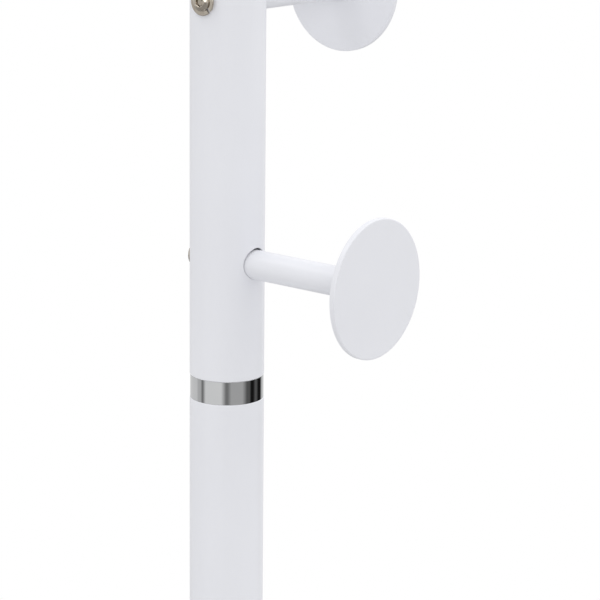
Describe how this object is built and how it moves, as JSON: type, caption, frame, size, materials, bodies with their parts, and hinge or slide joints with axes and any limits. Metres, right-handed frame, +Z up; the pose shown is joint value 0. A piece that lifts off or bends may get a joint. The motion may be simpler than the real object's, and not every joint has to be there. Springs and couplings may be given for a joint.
{
  "type": "standing coat rack",
  "caption": "Free-standing white steel coat rack: a round pole in two tubes with a bright ring between them, disc-ended pegs spiralling up it, and a round base plate.",
  "frame": {"origin": "centre of the pole's axis on the floor", "axes": "+Z up the pole, +X along the lowest peg, +Y along the peg above it"},
  "size_m": [0.3599, 0.36, 1.749],
  "materials": {
    "white_powder_coat": "satin white powder coat with a faint orange peel",
    "bright_chrome": "polished chrome",
    "nickel_bolts": "bright nickel plate, slightly warm",
    "plain_steel": "plain zinc-plated steel",
    "pad_rubber": "matt black rubber",
    "cap_plastic": "satin white moulded plastic"
  },
  "bodies": {
    "root": {"upper_tube": "white_powder_coat", "lower_tube": "white_powder_coat", "base_plate": "white_powder_coat", "peg_tube_1": "white_powder_coat", "peg_tube_2": "white_powder_coat", "peg_tube_3": "white_powder_coat", "peg_tube_4": "white_powder_coat", "peg_tube_5": "white_powder_coat", "peg_tube_6": "white_powder_coat", "peg_disc_1": "white_powder_coat", "peg_disc_2": "white_powder_coat", "peg_disc_3": "white_powder_coat", "peg_disc_4": "white_powder_coat", "peg_disc_5": "white_powder_coat", "peg_disc_6": "white_powder_coat", "joint_ring": "bright_chrome", "peg_bolt_1": "nickel_bolts", "peg_bolt_2": "nickel_bolts", "peg_bolt_3": "nickel_bolts", "peg_bolt_4": "nickel_bolts", "peg_bolt_5": "nickel_bolts", "peg_bolt_6": "nickel_bolts", "peg_washer_1": "nickel_bolts", "peg_washer_2": "nickel_bolts", "peg_washer_3": "nickel_bolts", "peg_washer_4": "nickel_bolts", "peg_washer_5": "nickel_bolts", "peg_washer_6": "nickel_bolts", "lower_joint_plug": "plain_steel", "upper_joint_plug": "plain_steel", "joint_stud": "plain_steel", "base_plug": "plain_steel", "base_bolt": "plain_steel", "base_washer": "plain_steel", "peg_insert_1": "plain_steel", "peg_insert_2": "plain_steel", "peg_insert_3": "plain_steel", "peg_insert_4": "plain_steel", "peg_insert_5": "plain_steel", "peg_insert_6": "plain_steel", "foot_pad_1": "pad_rubber", "foot_pad_2": "pad_rubber", "foot_pad_3": "pad_rubber", "foot_pad_4": "pad_rubber", "foot_pad_5": "pad_rubber", "foot_pad_6": "pad_rubber", "top_cap": "cap_plastic"}
  },
  "joints": []
}
